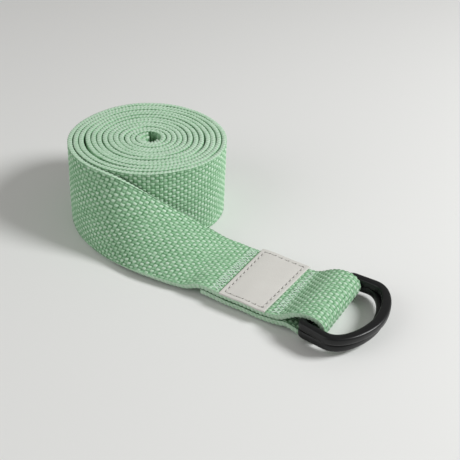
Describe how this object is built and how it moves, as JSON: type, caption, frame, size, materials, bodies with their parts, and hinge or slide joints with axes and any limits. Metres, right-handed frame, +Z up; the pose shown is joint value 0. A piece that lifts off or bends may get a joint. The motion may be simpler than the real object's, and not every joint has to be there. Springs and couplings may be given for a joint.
{
  "type": "stretching strap",
  "caption": "Rolled cotton webbing strap for stretching, with a sewn plain label and a sewn loop that holds stacked plastic D-rings for cinching.",
  "frame": {"origin": "middle of the base of the bounding box; the strap stands and lies on the plane z = 0", "axes": "+X along the flat tail towards the D-rings, +Y across the tail to the side where the roll stands, +Z up along the roll's axis"},
  "size_m": [0.1804, 0.0926, 0.0381],
  "materials": {
    "webbing": "matte cotton webbing in light sage green, coarse plain weave with raised rows",
    "seam_thread": "matte sewing thread a shade lighter than the webbing",
    "label": "smooth matte light grey synthetic leather, no text",
    "label_thread": "off-white sewing thread",
    "ring": "satin black moulded plastic with rounded edges"
  },
  "bodies": {
    "strap": {"webbing_hem": "webbing", "webbing_roll": "webbing", "webbing_run_off": "webbing", "webbing_top_ply": "webbing", "webbing_ring_loop": "webbing", "webbing_under_ply": "webbing", "label_patch": "label", "label_stitching": "label_thread", "loop_seam_thread": "seam_thread", "fold_end_seam_thread": "seam_thread", "hem_seam_thread": "seam_thread"},
    "lower_ring": {"lower_d_ring": "ring"},
    "upper_ring": {"upper_d_ring": "ring"}
  },
  "joints": [
    {"name": "lower_ring_swing", "type": "hinge", "parent": "strap", "child": "lower_ring", "pos_m": [0.06175, -0.02133, 0.00452], "axis": [0, -1, 0], "range_deg": [-5, 45]},
    {"name": "upper_ring_swing", "type": "hinge", "parent": "lower_ring", "child": "upper_ring", "pos_m": [0.06335, -0.02133, 0.00862], "axis": [-0.0872, -0.9962, 0], "range_deg": [0, 90]}
  ]
}
